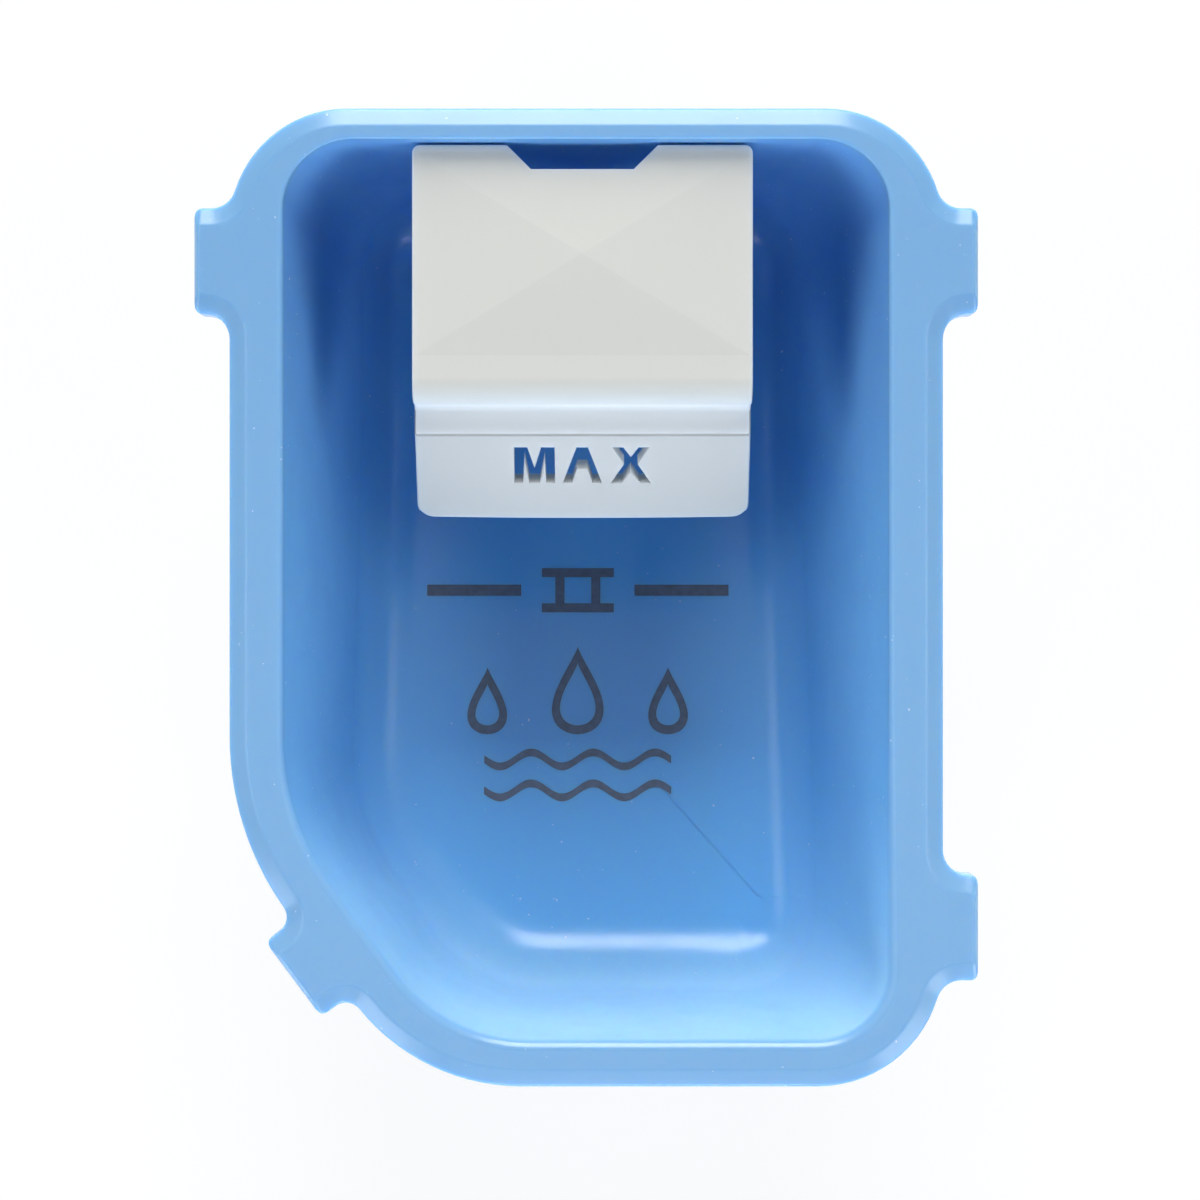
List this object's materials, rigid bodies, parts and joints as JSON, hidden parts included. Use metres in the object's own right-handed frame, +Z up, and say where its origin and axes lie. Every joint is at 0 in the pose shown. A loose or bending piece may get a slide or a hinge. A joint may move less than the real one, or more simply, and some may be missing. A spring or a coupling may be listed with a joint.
{
  "type": "liquid detergent cup with siphon insert for a washing machine dispenser drawer",
  "caption": "Tapered open plastic cup with a bevelled rim, locating tabs and a cut-off corner, holding a lift-out siphon insert with a fill-limit flap.",
  "frame": {"origin": "middle of the outer box, tabs included, on the level that the cup stands on", "axes": "+X to the right, +Y towards the siphon end, +Z up"},
  "size_m": [0.1, 0.125, 0.06],
  "materials": {
    "cup_plastic": "satin",
    "insert_plastic": "satin"
  },
  "bodies": {
    "cup": {"cup": "cup_plastic"},
    "siphon_insert": {"siphon_insert": "insert_plastic"}
  },
  "joints": [
    {"name": "insert_lift", "type": "slide", "parent": "cup", "child": "siphon_insert", "axis": [0, 0, 1], "range_m": [0, 0.062]}
  ]
}
